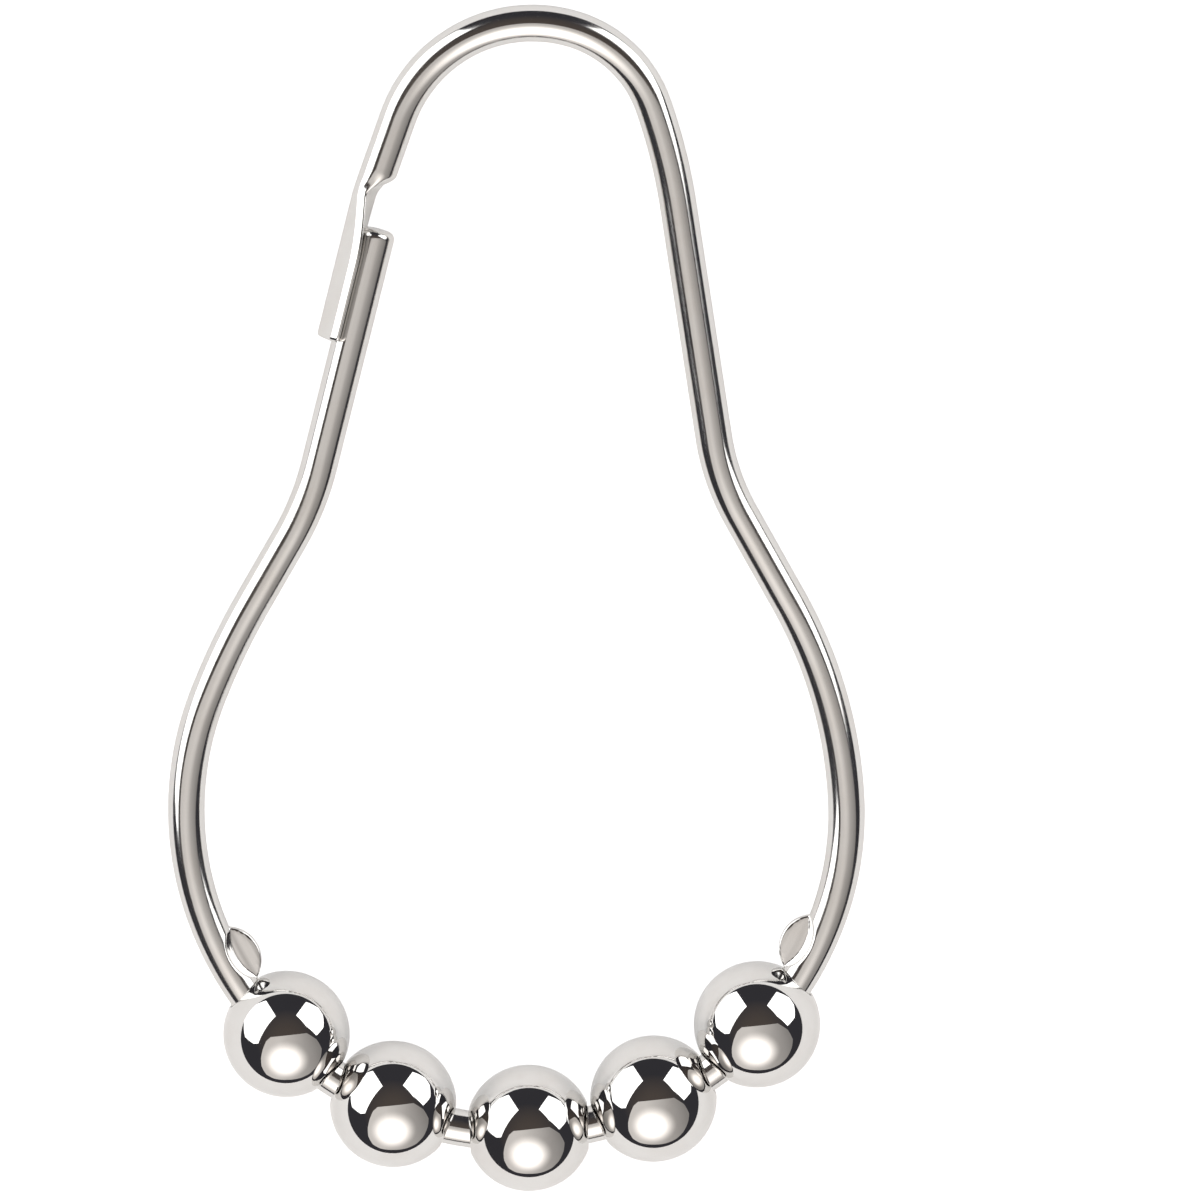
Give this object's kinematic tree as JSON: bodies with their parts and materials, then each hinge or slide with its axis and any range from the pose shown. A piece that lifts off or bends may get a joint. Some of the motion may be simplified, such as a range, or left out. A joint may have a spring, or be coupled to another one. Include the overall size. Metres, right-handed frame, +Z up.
{
  "type": "shower curtain hook",
  "caption": "Pear-shaped spring wire hook for a shower curtain: hollow balls roll on its wide end, its narrow end holds the eyelet, and a pressed V catch takes the free wire end.",
  "frame": {"origin": "centre of the bounding box, on the floor that the hook lies on", "axes": "+Z up, away from the floor; +Y along the loop, from the balls to the narrow crown; +X to the right as seen from above"},
  "size_m": [0.0404, 0.069, 0.0076],
  "materials": {
    "wire": "polished nickel plate on steel spring wire",
    "balls": "polished nickel plate on hollow steel balls"
  },
  "bodies": {
    "ring": {"wire_ring": "wire"},
    "ball_1": {"roller_ball_1": "balls"},
    "ball_2": {"roller_ball_2": "balls"},
    "ball_3": {"roller_ball_3": "balls"},
    "ball_4": {"roller_ball_4": "balls"},
    "ball_5": {"roller_ball_5": "balls"}
  },
  "joints": [
    {"name": "ball_1_spin", "type": "hinge", "parent": "ring", "child": "ball_1", "pos_m": [-0.01336, -0.02535, 0.00368], "axis": [0.708, -0.7054, 0.0321], "continuous": true},
    {"name": "ball_2_spin", "type": "hinge", "parent": "ring", "child": "ball_2", "pos_m": [-0.00717, -0.02946, 0.00387], "axis": [0.9251, -0.3792, 0.0177], "continuous": true},
    {"name": "ball_3_spin", "type": "hinge", "parent": "ring", "child": "ball_3", "pos_m": [0.00071, -0.03087, 0.00394], "axis": [0.9993, 0.0366, -0.0007], "continuous": true},
    {"name": "ball_4_spin", "type": "hinge", "parent": "ring", "child": "ball_4", "pos_m": [0.00794, -0.02915, 0.00387], "axis": [0.9084, 0.4176, -0.0177], "continuous": true},
    {"name": "ball_5_spin", "type": "hinge", "parent": "ring", "child": "ball_5", "pos_m": [0.01395, -0.02478, 0.00368], "axis": [0.6779, 0.7345, -0.0321], "continuous": true}
  ]
}
